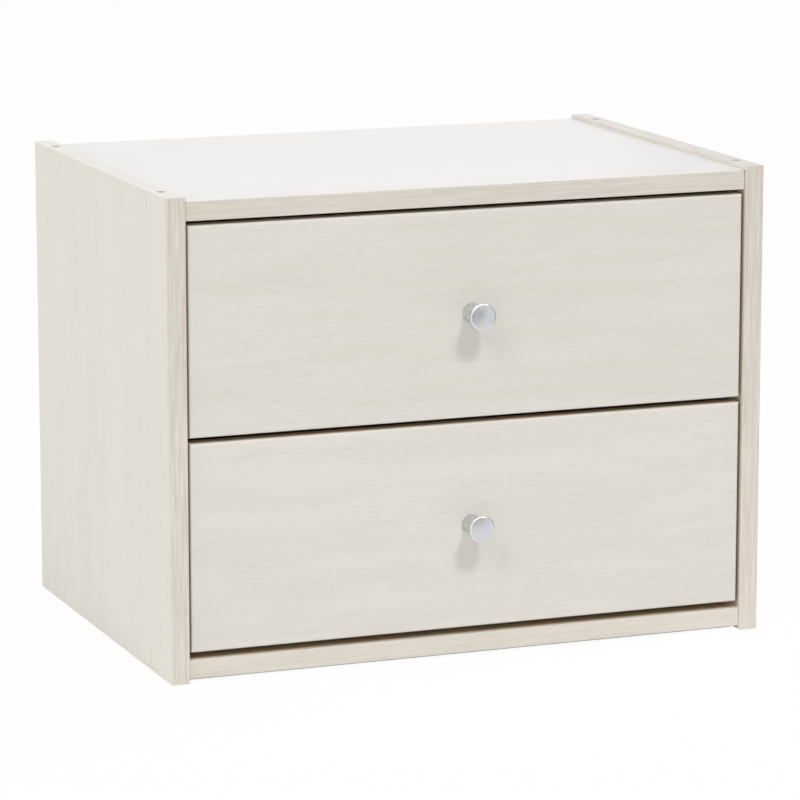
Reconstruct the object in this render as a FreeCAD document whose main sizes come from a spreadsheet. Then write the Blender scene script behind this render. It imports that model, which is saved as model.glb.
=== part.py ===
"""Tabletop cabinet with two drawers for CD cases.

Laminated particle board carcass (two side panels, a top and a bottom board, a hardboard back in
grooves), held by dowels and capped connecting screws.  Two drawers hang on moulded runners: each is a
board box with a front, a hardboard bottom, cam fittings, dowels, screws and a turned metal knob.

Millimetres.  Origin: middle of the footprint, on the floor.  +Z is up, the drawers open towards -Y.
"""
import FreeCAD, Part
import math
import os
import re

import Sketcher

SIZES = {
    # carcass
    "carcass_width": 415.0,
    "carcass_depth": 290.0,
    "carcass_height": 315.0,
    "panel_wall": 12.5,
    "board_wall": 12.5,
    "lip_above": 3.0,
    "lip_below": 2.5,
    "board_setback": 2.0,
    "board_easing": 0.4,
    # edge bands glued on the front edges
    "band_wall": 1.0,
    "band_easing": 0.4,
    "band_corner": 1.8,
    "band_end_gap": 0.3,
    # back panel and the grooves that hold it
    "back_wall": 2.5,
    "back_inset": 8.0,
    "back_groove_depth": 5.0,
    "groove_play": 0.15,
    "groove_end_gap": 0.4,
    # blind holes for the pegs that join stacked cabinets: tight above, easy below
    "stack_hole_radius": 3.0,
    "stack_hole_play": 0.25,
    "stack_hole_depth": 12.0,
    "stack_hole_front": 30.0,
    "stack_hole_back": 30.0,
    # screws, covers and dowels through the side panels
    "screw_front": 50.0,
    "screw_back": 49.0,
    "screw_length": 45.0,
    "screw_radius": 2.5,
    "screw_head_radius": 4.5,
    "screw_head_length": 3.0,
    "cover_radius": 7.0,
    "cover_wall": 0.6,
    "dowel_radius": 3.0,
    "dowel_length": 25.0,
    "dowel_seat": 8.0,
    "dowel_front": 100.0,
    "dowel_back": 95.0,
    "hole_play": 0.1,
    # gaps round the drawer fronts
    "gap_side": 2.0,
    "gap_top": 3.1,
    "gap_middle": 3.7,
    "gap_bottom": 4.7,
    # drawer front and box
    "front_wall": 12.5,
    "front_round": 1.6,
    "box_gap": 2.6,
    "box_wall": 12.0,
    "box_easing": 0.6,
    "box_rise": 2.0,
    "box_drop": 24.5,
    "box_back_gap": 17.5,
    "bottom_wall": 2.5,
    "bottom_inset": 5.0,
    "bottom_groove_depth": 5.0,
    "joint_low": 18.0,
    "joint_high": 12.0,
    "back_screw_length": 32.0,
    "back_screw_radius": 1.9,
    "back_screw_head_radius": 3.6,
    "back_screw_head_length": 2.4,
    # cam fittings between front and sides
    "cam_drop": 30.0,
    "cam_reach": 24.0,
    "cam_radius": 6.0,
    "cam_floor": 2.5,
    "cam_slot_length": 8.0,
    "cam_slot_width": 1.6,
    "cam_slot_depth": 1.6,
    "bolt_seat": 8.5,
    "bolt_thread_radius": 2.5,
    "bolt_neck_radius": 1.7,
    "bolt_head_radius": 2.8,
    "bolt_head_length": 3.0,
    # moulded runners, their screws and the grooves they run in
    "rail_level": 36.0,
    "rail_play": 0.3,
    "rib_height": 12.0,
    "rib_reach": 5.0,
    "rib_end_play": 0.6,
    "rib_easing": 0.7,
    "runner_flange": 1.6,
    "runner_lip": 3.0,
    "runner_stop_gap": 0.3,
    "runner_back_gap": 14.7,
    "lead_in_length": 7.0,
    "lead_in_drop": 2.2,
    "core_slot_half": 2.8,
    "core_slot_margin": 16.0,
    "core_slot_rib": 6.0,
    "core_slot_floor": 2.2,
    "runner_screw_inset": 32.0,
    "runner_screw_floor": 3.0,
    "runner_screw_length": 11.0,
    "runner_screw_radius": 1.7,
    "runner_screw_head_radius": 3.4,
    "runner_screw_head_length": 2.2,
    # turned knob and its screw
    "knob_rise": 1.0,
    "knob_length": 21.0,
    "knob_radius": 9.0,
    "knob_neck_radius": 6.4,
    "knob_neck_length": 8.5,
    "knob_land": 0.4,
    "knob_bevel": 1.0,
    "knob_bore_depth": 10.0,
    "knob_screw_reach": 8.0,
    "knob_screw_radius": 2.0,
    "knob_screw_head_radius": 4.0,
    "knob_screw_head_length": 2.6,
}

# Places and sizes that follow from the driving dimensions.
DERIVED = {
    "half_width": "carcass_width / 2",
    "front_edge": "-carcass_depth / 2",
    "bay_half": "half_width - panel_wall",
    "bay_floor": "lip_below + board_wall",
    "bay_roof": "carcass_height - lip_above - board_wall",
    "board_length": "2 * bay_half",
    "board_depth": "carcass_depth - board_setback",
    "board_front": "front_edge + board_setback",
    "groove_front": "carcass_depth - back_inset - back_wall - groove_play",
    "groove_rear": "carcass_depth - back_inset + groove_play",
    "back_seat": "back_groove_depth - groove_end_gap",
    "dowel_reach": "dowel_length - dowel_seat",
    "front_width": "board_length - 2 * gap_side",
    "front_height": "(bay_roof - bay_floor - gap_top - gap_middle - gap_bottom) / 2",
    "lower_base": "bay_floor + gap_bottom",
    "upper_base": "lower_base + front_height + gap_middle",
    "knob_level": "front_height / 2 + knob_rise",
    "box_front": "board_front + front_wall",
    "box_half": "bay_half - box_gap",
    "box_height": "front_height - box_rise - box_drop",
    "box_length": "carcass_depth - board_setback - front_wall - back_inset - back_wall - box_back_gap",
    "inside_half": "box_half - box_wall",
    "bottom_seat": "bottom_groove_depth - groove_end_gap",
    "bottom_low": "bottom_inset - groove_play",
    "bottom_high": "bottom_inset + bottom_wall + groove_play",
    "cam_level": "box_height - cam_drop",
    "cam_depth": "box_wall - cam_floor",
    "rib_face": "box_gap + rib_reach",
    "runner_front": "box_front + runner_stop_gap",
    "runner_length": "box_length + box_back_gap - runner_stop_gap - runner_back_gap",
    "rail_groove_depth": "rib_reach + rib_end_play",
    "runner_height": "rib_height + 2 * runner_lip",
}

doc = FreeCAD.newDocument("cd_storage_drawer")
sheet = doc.addObject("Spreadsheet::Sheet", "Sizes")


def formula(text):
    """Write a formula of plain size names as the document's expression."""
    def full_name(match):
        word = match.group()
        return "Sizes." + word if word in SIZES or word in DERIVED else word
    return re.sub(r"[a-z_]+", full_name, text)


def fill_sheet():
    """Put every driving dimension, then every derived one, in a named cell."""
    rows = list(SIZES.items()) + [(name, "=" + text) for name, text in DERIVED.items()]
    for row, (name, content) in enumerate(rows, start=1):
        sheet.set("A%d" % row, name)
        sheet.set("B%d" % row, str(content))
        sheet.setAlias("B%d" % row, name)
    doc.recompute()


fill_sheet()


# ---------------------------------------------------------------- modelling helpers

def value(text):
    """The number that a formula gives now, to start a sketch near its solution."""
    return float(sheet.evalExpression(formula(text)))


def bind(item, prop, text):
    item.setExpression(prop, formula(text))


def place(item, x="0", y="0", z="0"):
    for axis, text in zip("xyz", (x, y, z)):
        bind(item, "Placement.Base." + axis, text)
    return item


def new_body(label):
    body = doc.addObject("PartDesign::Body", label)
    body.Label = label
    return body


def sketch_on(body, plane, lift="0"):
    """A sketch on one of the body's own origin planes, lifted along the plane's normal."""
    sketch = body.newObject("Sketcher::SketchObject", body.Name + "_" + plane.lower() + "_sketch")
    origin = next(item for item in body.Origin.OriginFeatures if item.Role == plane + "_Plane")
    sketch.AttachmentSupport = [(origin, "")]
    sketch.MapMode = "FlatFace"
    bind(sketch, "AttachmentOffset.Base.z", lift)
    return sketch


def locate(sketch, geometry, point, name, u, v):
    """Tie a point of the sketch to two formulas, measured from the sketch's origin."""
    for kind, text in (("DistanceX", u), ("DistanceY", v)):
        rule = sketch.addConstraint(Sketcher.Constraint(kind, -1, 1, geometry, point, value(text)))
        sketch.renameConstraint(rule, name + kind[-1])
        bind(sketch, "Constraints." + name + kind[-1], text)


def arc_between(start, end, radius, side):
    """The short arc from start to end that bulges to the left (side 1) or right (side -1)."""
    chord = end - start
    across = FreeCAD.Vector(-chord.y, chord.x, 0).normalize()
    half = chord.Length / 2
    sagitta = radius - math.sqrt(radius ** 2 - half ** 2)
    return Part.Arc(start, (start + end) / 2 + across * sagitta * side, end)


def outline(sketch, corners):
    """A closed outline.  A corner is (u, v), or (u, v, radius, side) where an arc leaves it."""
    points = [FreeCAD.Vector(value(corner[0]), value(corner[1]), 0) for corner in corners]
    prefix = "line%d_" % sketch.GeometryCount
    starts = []
    for index, corner in enumerate(corners):
        here = points[index]
        there = points[(index + 1) % len(points)]
        if len(corner) == 2:
            edge = sketch.addGeometry(Part.LineSegment(here, there))
        else:
            edge = sketch.addGeometry(arc_between(here, there, value(corner[2]), corner[3]))
        first = 1 if sketch.getPoint(edge, 1).isEqual(here, 1e-6) else 2
        starts.append((edge, first))
    for index, (edge, first) in enumerate(starts):
        following, entry = starts[(index + 1) % len(starts)]
        sketch.addConstraint(Sketcher.Constraint("Coincident", edge, 3 - first, following, entry))
    for index, (edge, first) in enumerate(starts):
        name = prefix + str(index)
        locate(sketch, edge, first, name, corners[index][0], corners[index][1])
        if len(corners[index]) > 2:
            rule = sketch.addConstraint(
                Sketcher.Constraint("Radius", edge, value(corners[index][2])))
            sketch.renameConstraint(rule, name + "R")
            bind(sketch, "Constraints." + name + "R", corners[index][2])


def rectangle(sketch, left, low, right, high):
    outline(sketch, [(left, low), (right, low), (right, high), (left, high)])


def circles(sketch, centres, radius):
    for u, v in centres:
        start = Part.Circle(FreeCAD.Vector(value(u), value(v), 0),
                            FreeCAD.Vector(0, 0, 1), value(radius))
        circle = sketch.addGeometry(start)
        name = "circle%d_" % circle
        locate(sketch, circle, 3, name, u, v)
        rule = sketch.addConstraint(Sketcher.Constraint("Radius", circle, value(radius)))
        sketch.renameConstraint(rule, name + "R")
        bind(sketch, "Constraints." + name + "R", radius)


def pad(body, sketch, length, reverse=False):
    feature = body.newObject("PartDesign::Pad", body.Name + "_pad")
    feature.Profile = sketch
    feature.Reversed = reverse
    bind(feature, "Length", length)
    doc.recompute()
    return feature


def pocket(body, sketch, depth, reverse=False):
    """Cut against the sketch's normal, or along it if reverse is set."""
    feature = body.newObject("PartDesign::Pocket", body.Name + "_pocket")
    feature.Profile = sketch
    feature.Reversed = reverse
    bind(feature, "Length", depth)
    return feature


def revolve(body, sketch, axis):
    feature = body.newObject("PartDesign::Revolution", body.Name + "_turning")
    feature.Profile = sketch
    feature.ReferenceAxis = (sketch, [axis])
    feature.Angle = 360
    return feature


def dress_edges(kind, body, base, wanted, prop, size):
    """A fillet or a chamfer on the edges of base that wanted(edge) picks."""
    names = ["Edge%d" % number for number, edge in enumerate(base.Shape.Edges, start=1) if wanted(edge)]
    feature = body.newObject("PartDesign::" + kind, body.Name + "_" + kind.lower())
    feature.Base = (base, names)
    bind(feature, prop, size)


def round_edges(body, base, wanted, radius):
    dress_edges("Fillet", body, base, wanted, "Radius", radius)


def ease_edges(body, base, wanted, size):
    """A narrow 45 degree chamfer that takes the sharpness off."""
    dress_edges("Chamfer", body, base, wanted, "Size", size)


def runs_along(edge, axis):
    span = edge.Vertexes[-1].Point - edge.Vertexes[0].Point
    return abs(abs(getattr(span, axis)) - span.Length) < 1e-6


def lies_at(edge, axis, level):
    return all(abs(getattr(vertex.Point, axis) - level) < 1e-6 for vertex in edge.Vertexes)


def mirrored(label, source):
    """The piece on the right that matches one on the left."""
    item = doc.addObject("Part::Mirroring", label)
    item.Label = label
    item.Source = source
    item.Normal = FreeCAD.Vector(1, 0, 0)
    return item


def prism(label, sides, radius, length, start="0"):
    """A many-sided pin along +Z that stands for a dowel, a shank, a head or a drill."""
    item = doc.addObject("Part::Prism", label)
    item.Polygon = sides
    bind(item, "Circumradius", radius)
    bind(item, "Height", length)
    return place(item, z=start)


def block(label, size, corner):
    """A box centred on X and Y, to cut a slot."""
    item = doc.addObject("Part::Box", label)
    for side, text in zip(("Length", "Width", "Height"), size):
        bind(item, side, text)
    return place(item, *corner)


def joined(label, pieces):
    item = doc.addObject("Part::MultiFuse", label)
    item.Label = label
    item.Shapes = pieces
    return item


def cut(label, base, tools):
    """Take each tool from the base in turn; the last result carries the label."""
    for number, tool in enumerate(tools, start=1):
        item = doc.addObject("Part::Cut", label if number == len(tools) else label + "_cut")
        item.Base = base
        item.Tool = tool
        base = item
    base.Label = label
    return base


def copies(label, master, places, aim="up"):
    """Copies of a fastener or a drill, its +Z turned to aim, as one group of separate solids."""
    links = []
    for x, y, z in places:
        link = doc.addObject("App::Link", label + "_copy")
        link.LinkedObject = master
        link.Placement = FreeCAD.Placement(FreeCAD.Vector(), AIMS[aim])
        links.append(place(link, x, y, z))
    group = doc.addObject("Part::Compound", label)
    group.Label = label
    group.Links = links
    return group


def both_sides(label, master, places, aim):
    """A group of fasteners on the left together with its mirror image on the right."""
    left = copies(label + "_left", master, places, aim)
    right = mirrored(label + "_right", left)
    group = doc.addObject("Part::Compound", label)
    group.Label = label
    group.Links = [left, right]
    return group


# ---------------------------------------------------------------- shared places

AIMS = {
    "up": FreeCAD.Rotation(),
    "right": FreeCAD.Rotation(FreeCAD.Vector(0, 1, 0), 90),
    "left": FreeCAD.Rotation(FreeCAD.Vector(0, 1, 0), -90),
    "back": FreeCAD.Rotation(FreeCAD.Vector(1, 0, 0), -90),
    "front": FreeCAD.Rotation(FreeCAD.Vector(1, 0, 0), 90),
}
SCREW_LINES = ("screw_front", "carcass_depth - screw_back")
DOWEL_LINES = ("dowel_front", "carcass_depth - dowel_back")
STACK_LINES = ("stack_hole_front", "carcass_depth - stack_hole_back")
BOARD_LEVELS = ("lip_below + board_wall / 2", "carcass_height - lip_above - board_wall / 2")
DRAWERS = {"lower": "lower_base", "upper": "upper_base"}
RUNNER_SCREW_LINES = ("runner_screw_inset", "runner_length - runner_screw_inset")
BOX_LEVELS = ("joint_low", "box_height - joint_high")


def spots(x, lines, levels):
    """Every place on the plane x, at each line along Y and each level."""
    return [(x, line, level) for line in lines for level in levels]


def runner_level(drawer):
    return DRAWERS[drawer] + " + box_rise + rail_level"


# ---------------------------------------------------------------- carcass boards

def side_panel(label):
    """Left side panel, drawn from its lower front outer corner; its inner face is at x = wall."""
    body = new_body(label + "_board")
    face = sketch_on(body, "YZ")
    rectangle(face, "band_wall", "0", "carcass_depth", "carcass_height")
    core = pad(body, face, "panel_wall")
    rear = value("carcass_depth")
    ease_edges(body, core, lambda edge: runs_along(edge, "y") or lies_at(edge, "y", rear), "board_easing")

    groove = sketch_on(body, "YZ", "panel_wall")
    rectangle(groove, "groove_front", "bay_floor - back_groove_depth",
              "groove_rear", "bay_roof + back_groove_depth")
    pocket(body, groove, "back_groove_depth")

    edge_holes = [("panel_wall / 2", line) for line in STACK_LINES]
    above = sketch_on(body, "XY", "carcass_height")
    circles(above, edge_holes, "stack_hole_radius")
    pocket(body, above, "stack_hole_depth")
    below = sketch_on(body, "XY")
    circles(below, edge_holes, "stack_hole_radius + stack_hole_play")
    pocket(body, below, "stack_hole_depth", reverse=True)
    place(body, "-half_width", "front_edge", "0")

    inner = "-bay_half"
    dowels = copies(label + "_dowel_holes", DRILLS["dowel"], at_panel(inner, DOWEL_LINES), "left")
    shanks = copies(label + "_screw_holes", DRILLS["screw"], at_panel(inner, SCREW_LINES), "left")
    seats = copies(label + "_head_seats", DRILLS["screw_head"], at_panel("-half_width", SCREW_LINES), "right")
    lines = ["runner_front + " + line for line in RUNNER_SCREW_LINES]
    levels = [runner_level(drawer) for drawer in DRAWERS]
    pilots = copies(label + "_pilot_holes", DRILLS["runner_screw"], spots(inner, lines, levels), "left")
    return cut(label, body, [dowels, shanks, seats, pilots])


def at_panel(x, lines):
    """The places on a plane x where the ends of both boards meet the panel."""
    return spots(x, ["front_edge + " + line for line in lines], BOARD_LEVELS)


def side_band(label):
    """Edge band on the front edge of the left side panel."""
    body = new_body(label)
    face = sketch_on(body, "XY")
    rectangle(face, "0", "0", "panel_wall", "band_wall")
    strip = pad(body, face, "carcass_height")
    front_corners = lambda edge: runs_along(edge, "z") and lies_at(edge, "y", 0)
    ease_edges(body, strip, front_corners, "band_easing")
    return place(body, "-half_width", "front_edge", "0")


def cross_board(label, base, level, groove_lift, groove_up):
    """Top or bottom board between the panels, with the groove for the back on its inner face."""
    body = new_body(label + "_board")
    face = sketch_on(body, "XY")
    rectangle(face, "0", "band_wall", "board_length", "board_depth")
    core = pad(body, face, "board_wall")
    rear = value("board_depth")
    rear_edges = lambda edge: runs_along(edge, "x") and lies_at(edge, "y", rear)
    ease_edges(body, core, rear_edges, "board_easing")

    groove = sketch_on(body, "XY", groove_lift)
    rectangle(groove, "0", "groove_front - board_setback", "board_length", "groove_rear - board_setback")
    pocket(body, groove, "back_groove_depth", reverse=groove_up)
    place(body, "-bay_half", "board_front", base)

    tools = []
    for x, aim in (("-bay_half", "right"), ("bay_half", "left")):
        screws = spots(x, ["front_edge + " + line for line in SCREW_LINES], [level])
        dowels = spots(x, ["front_edge + " + line for line in DOWEL_LINES], [level])
        tools.append(copies(label + "_pilot_holes", DRILLS["screw_in_board"], screws, aim))
        tools.append(copies(label + "_dowel_holes", DRILLS["dowel_in_board"], dowels, aim))
    return cut(label, body, tools)


def board_band(label, level, eased):
    """Edge band on a board's front edge, a little short of the panels; its upper corners may be eased."""
    body = new_body(label)
    face = sketch_on(body, "XZ")
    length = "board_length - 2 * band_end_gap"
    if eased:
        rise = "board_wall - band_corner"
        outline(face, [("0", "0"), (length, "0"), (length, rise, "band_corner", -1),
                       (length + " - band_corner", "board_wall"),
                       ("band_corner", "board_wall", "band_corner", -1), ("0", rise)])
    else:
        rectangle(face, "0", "0", length, "board_wall")
    strip = pad(body, face, "band_wall", reverse=True)
    long_edges = lambda edge: runs_along(edge, "x") and lies_at(edge, "y", 0)
    ease_edges(body, strip, long_edges, "band_easing")
    return place(body, "-bay_half + band_end_gap", "board_front", level)


def back_panel(label):
    """Hardboard back, held in the grooves of both panels and both boards."""
    body = new_body(label)
    face = sketch_on(body, "XZ")
    side = "(bay_half + back_seat)"
    rectangle(face, "-" + side, "bay_floor - back_seat", side, "bay_roof + back_seat")
    pad(body, face, "back_wall", reverse=True)
    return place(body, "0", "-front_edge - back_inset - back_wall", "0")


# ---------------------------------------------------------------- fasteners and drills, along +Z

SHANK_SIDES = 8
HEAD_SIDES = 12
COVER_SIDES = 24


def headed_screw(label, radius, length, head_radius, head_length, head_start):
    """A screw from its seat at z = 0: the shank points along +Z, the head starts at head_start."""
    shank = prism(label + "_shank", SHANK_SIDES, radius, length)
    head = prism(label + "_head", HEAD_SIDES, head_radius, head_length, head_start)
    return joined(label, [shank, head])


def cam_bolt():
    """Cam bolt: thread in the front below z = 0, then the neck and the head held by the cam."""
    thread = prism("cam_bolt_thread", SHANK_SIDES, "bolt_thread_radius", "bolt_seat", "-bolt_seat")
    neck = prism("cam_bolt_neck", SHANK_SIDES, "bolt_neck_radius", "cam_reach")
    head = prism("cam_bolt_head", SHANK_SIDES, "bolt_head_radius", "bolt_head_length",
                 "cam_reach - bolt_head_length / 2")
    return joined("cam_bolt", [thread, neck, head])


def cam_lock():
    """Cam disc below its face at z = 0, with a cross slot and a mouth at one side for the bolt."""
    disc = prism("cam_disc", HEAD_SIDES, "cam_radius", "cam_depth", "-cam_depth")
    long_side = "cam_slot_length"
    short_side = "cam_slot_width"
    slots = []
    for along, across in ((long_side, short_side), (short_side, long_side)):
        slots.append(block("cam_slot", (along, across, "cam_slot_depth"),
                           ("-%s / 2" % along, "-%s / 2" % across, "-cam_slot_depth")))
    drill = prism("cam_mouth_drill", SHANK_SIDES, "bolt_head_radius + hole_play",
                  "cam_radius + bolt_head_length / 2 + hole_play")
    mouth = copies("cam_mouth", drill, [("0", "-cam_radius", "-box_wall / 2")], "back")
    return cut("cam_lock", disc, [joined("cam_cross", slots), mouth])


FASTENERS = {
    "carcass_screw": headed_screw("carcass_screw", "screw_radius", "screw_length", "screw_head_radius",
                                  "screw_head_length", "0"),
    "screw_cover": prism("screw_cover", COVER_SIDES, "cover_radius", "cover_wall"),
    "dowel": prism("dowel", SHANK_SIDES, "dowel_radius", "dowel_length"),
    "runner_screw": headed_screw("runner_screw", "runner_screw_radius", "runner_screw_length",
                                 "runner_screw_head_radius", "runner_screw_head_length",
                                 "-runner_screw_head_length"),
    "back_screw": headed_screw("back_screw", "back_screw_radius", "back_screw_length",
                               "back_screw_head_radius", "back_screw_head_length", "0"),
    "knob_screw": headed_screw("knob_screw", "knob_screw_radius", "front_wall + knob_screw_reach",
                               "knob_screw_head_radius", "knob_screw_head_length",
                               "-knob_screw_head_length"),
    "cam_bolt": cam_bolt(),
    "cam_lock": cam_lock(),
}


def drill(label, sides, radius, length):
    """A tool that leaves the hole play round a pin of the same number of sides."""
    return prism(label + "_drill", sides, radius + " + hole_play", length)


DRILLS = {
    "dowel": drill("dowel", SHANK_SIDES, "dowel_radius", "dowel_seat + hole_play"),
    "dowel_in_board": drill("dowel_in_board", SHANK_SIDES, "dowel_radius", "dowel_reach + hole_play"),
    "screw": drill("screw", SHANK_SIDES, "screw_radius", "panel_wall"),
    "screw_head": drill("screw_head", HEAD_SIDES, "screw_head_radius", "screw_head_length"),
    "screw_in_board": drill("screw_in_board", SHANK_SIDES, "screw_radius",
                            "screw_length - panel_wall + hole_play"),
    "runner_screw": drill("runner_screw", SHANK_SIDES, "runner_screw_radius",
                          "runner_screw_length - runner_screw_floor + hole_play"),
    "runner_screw_head": drill("runner_screw_head", HEAD_SIDES, "runner_screw_head_radius",
                               "rib_face - runner_screw_floor"),
    "runner_screw_in_rib": drill("runner_screw_in_rib", SHANK_SIDES, "runner_screw_radius", "rib_face"),
    "bolt": drill("bolt", SHANK_SIDES, "bolt_thread_radius", "bolt_seat + hole_play"),
    "bolt_in_side": drill("bolt_in_side", SHANK_SIDES, "bolt_head_radius", "cam_reach"),
    "cam": drill("cam", HEAD_SIDES, "cam_radius", "cam_depth"),
    "back_screw": drill("back_screw", SHANK_SIDES, "back_screw_radius", "box_wall"),
    "back_screw_head": drill("back_screw_head", HEAD_SIDES, "back_screw_head_radius",
                             "back_screw_head_length"),
    "back_screw_in_back": drill("back_screw_in_back", SHANK_SIDES, "back_screw_radius",
                                "back_screw_length - box_wall + hole_play"),
    "knob_screw": drill("knob_screw", SHANK_SIDES, "knob_screw_radius", "front_wall"),
    "knob_bore": drill("knob_bore", SHANK_SIDES, "knob_screw_radius", "knob_bore_depth"),
}


# ---------------------------------------------------------------- moulded runner

def runner(label, drawer):
    """Left runner: a flange on the panel and a rib in the drawer's groove, drawn from its nose."""
    body = new_body(label + "_bar")
    section = sketch_on(body, "XZ")
    lip = "runner_height / 2"
    rib = "rib_height / 2"
    outline(section, [("0", "-" + lip), ("runner_flange", "-" + lip), ("runner_flange", "-" + rib),
                      ("rib_face", "-" + rib), ("rib_face", rib), ("runner_flange", rib),
                      ("runner_flange", lip), ("0", lip)])
    bar = pad(body, section, "runner_length", reverse=True)
    face = value("rib_face")
    rib_edges = lambda edge: runs_along(edge, "y") and lies_at(edge, "x", face)
    ease_edges(body, bar, rib_edges, "rib_easing")

    nose = sketch_on(body, "YZ", "rib_face")
    for sign in ("", "-"):
        edge = sign + rib
        inner = sign + "(rib_height / 2 - lead_in_drop)"
        outline(nose, [("0", inner), ("lead_in_length", edge), ("0", edge)])
    pocket(body, nose, "rib_face - runner_flange")

    middle = "runner_length / 2"
    first = "runner_screw_inset + core_slot_margin"
    last = "runner_length - runner_screw_inset - core_slot_margin"
    slots = sketch_on(body, "YZ", "rib_face")
    half = "core_slot_half"
    for start, end in ((first, middle + " - core_slot_rib / 2"), (middle + " + core_slot_rib / 2", last)):
        outline(slots, [(start, "0"), (start + " + " + half, "-" + half), (end + " - " + half, "-" + half),
                        (end, "0"), (end + " - " + half, half), (start + " + " + half, half)])
    pocket(body, slots, "rib_face - core_slot_floor")
    level = runner_level(drawer)
    place(body, "-bay_half", "runner_front", level)

    lines = ["runner_front + " + line for line in RUNNER_SCREW_LINES]
    holes = spots("-bay_half + rib_face", lines, [level])
    heads = copies(label + "_head_seats", DRILLS["runner_screw_head"], holes, "left")
    shanks = copies(label + "_screw_holes", DRILLS["runner_screw_in_rib"], holes, "left")
    return cut(label, body, [heads, shanks])


# ---------------------------------------------------------------- drawer pieces

def side_line(sign):
    """The middle of a side board's thickness, on the left (-) or the right."""
    return sign + "(box_half - box_wall / 2)"


def drawer_front(label, base):
    """Front board with eased front edges, drawn from the middle of its lower front edge."""
    body = new_body(label + "_board")
    face = sketch_on(body, "XZ")
    rectangle(face, "-front_width / 2", "0", "front_width / 2", "front_height")
    board = pad(body, face, "front_wall", reverse=True)
    round_edges(body, board, lambda edge: lies_at(edge, "y", 0), "front_round")

    groove = sketch_on(body, "XZ", "-front_wall")
    side = "(inside_half + bottom_groove_depth)"
    rectangle(groove, "-" + side, "box_rise + bottom_low", side, "box_rise + bottom_high")
    pocket(body, groove, "bottom_groove_depth", reverse=True)
    place(body, "0", "board_front", base)

    box_base = base + " + box_rise + "
    dowels = []
    bolts = []
    for sign in ("-", ""):
        dowels += [(side_line(sign), "box_front", box_base + level) for level in BOX_LEVELS]
        bolts.append((side_line(sign), "box_front", box_base + "cam_level"))
    knob_hole = [("0", "box_front", base + " + knob_level")]
    return cut(label, body, [
        copies(label + "_dowel_holes", DRILLS["dowel"], dowels, "front"),
        copies(label + "_bolt_holes", DRILLS["bolt"], bolts, "front"),
        copies(label + "_knob_hole", DRILLS["knob_screw"], knob_hole, "front"),
    ])


def drawer_side(label, base):
    """Left side board of the box, drawn from its lower front outer corner."""
    body = new_body(label + "_board")
    face = sketch_on(body, "YZ")
    rectangle(face, "0", "0", "box_length", "box_height")
    board = pad(body, face, "box_wall")
    top = value("box_height")
    top_edges = lambda edge: runs_along(edge, "y") and lies_at(edge, "z", top)
    ease_edges(body, board, top_edges, "box_easing")

    rail = sketch_on(body, "YZ")
    half = "(rib_height / 2 + rail_play)"
    rectangle(rail, "0", "rail_level - " + half, "box_length", "rail_level + " + half)
    pocket(body, rail, "rail_groove_depth", reverse=True)

    groove = sketch_on(body, "YZ", "box_wall")
    rectangle(groove, "0", "bottom_low", "box_length", "bottom_high")
    pocket(body, groove, "bottom_groove_depth")
    box_base = base + " + box_rise"
    place(body, "-box_half", "box_front", box_base)

    levels = [box_base + " + " + level for level in BOX_LEVELS]
    cam = box_base + " + cam_level"
    back_line = "box_front + box_length - box_wall / 2"
    dowels = [(side_line("-"), "box_front", level) for level in levels]
    back_screws = spots("-box_half", [back_line], levels)
    return cut(label, body, [
        copies(label + "_dowel_holes", DRILLS["dowel_in_board"], dowels, "back"),
        copies(label + "_bolt_hole", DRILLS["bolt_in_side"], [(side_line("-"), "box_front", cam)], "back"),
        copies(label + "_cam_hole", DRILLS["cam"], [("-inside_half", "box_front + cam_reach", cam)], "left"),
        copies(label + "_screw_holes", DRILLS["back_screw"], back_screws, "right"),
        copies(label + "_head_seats", DRILLS["back_screw_head"], back_screws, "right"),
    ])


def drawer_back(label, base):
    """Back board between the side boards, drawn from its lower front left corner."""
    body = new_body(label + "_board")
    face = sketch_on(body, "XZ")
    rectangle(face, "0", "0", "2 * inside_half", "box_height")
    board = pad(body, face, "box_wall", reverse=True)
    top = value("box_height")
    top_edges = lambda edge: runs_along(edge, "x") and lies_at(edge, "z", top)
    ease_edges(body, board, top_edges, "box_easing")

    groove = sketch_on(body, "XZ")
    rectangle(groove, "0", "bottom_low", "2 * inside_half", "bottom_high")
    pocket(body, groove, "bottom_groove_depth")
    box_base = base + " + box_rise"
    place(body, "-inside_half", "box_front + box_length - box_wall", box_base)

    levels = [box_base + " + " + level for level in BOX_LEVELS]
    back_line = "box_front + box_length - box_wall / 2"
    tools = []
    for x, aim in (("-inside_half", "right"), ("inside_half", "left")):
        tools.append(copies(label + "_pilot_holes", DRILLS["back_screw_in_back"],
                            spots(x, [back_line], levels), aim))
    return cut(label, body, tools)


def drawer_bottom(label, base):
    """Hardboard bottom in the grooves of the front, the sides and the back."""
    body = new_body(label)
    face = sketch_on(body, "XY")
    side = "(inside_half + bottom_seat)"
    rectangle(face, "-" + side, "-bottom_seat", side, "box_length - box_wall + bottom_seat")
    pad(body, face, "bottom_wall")
    return place(body, "0", "box_front", base + " + box_rise + bottom_inset")


def knob(label, base):
    """Turned knob on the front: a neck, a flare to the full width, a narrow land and a bevelled face."""
    body = new_body(label + "_turned")
    half = sketch_on(body, "XY")
    outline(half, [("0", "0"), ("knob_neck_radius", "0"), ("knob_neck_radius", "-knob_neck_length"),
                   ("knob_radius", "knob_land + knob_bevel - knob_length"),
                   ("knob_radius", "knob_bevel - knob_length"),
                   ("knob_radius - knob_bevel", "-knob_length"), ("0", "-knob_length")])
    revolve(body, half, "V_Axis")
    level = base + " + knob_level"
    place(body, "0", "board_front", level)
    bore = copies(label + "_bore", DRILLS["knob_bore"], [("0", "board_front", level)], "front")
    return cut(label, body, [bore])


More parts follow.
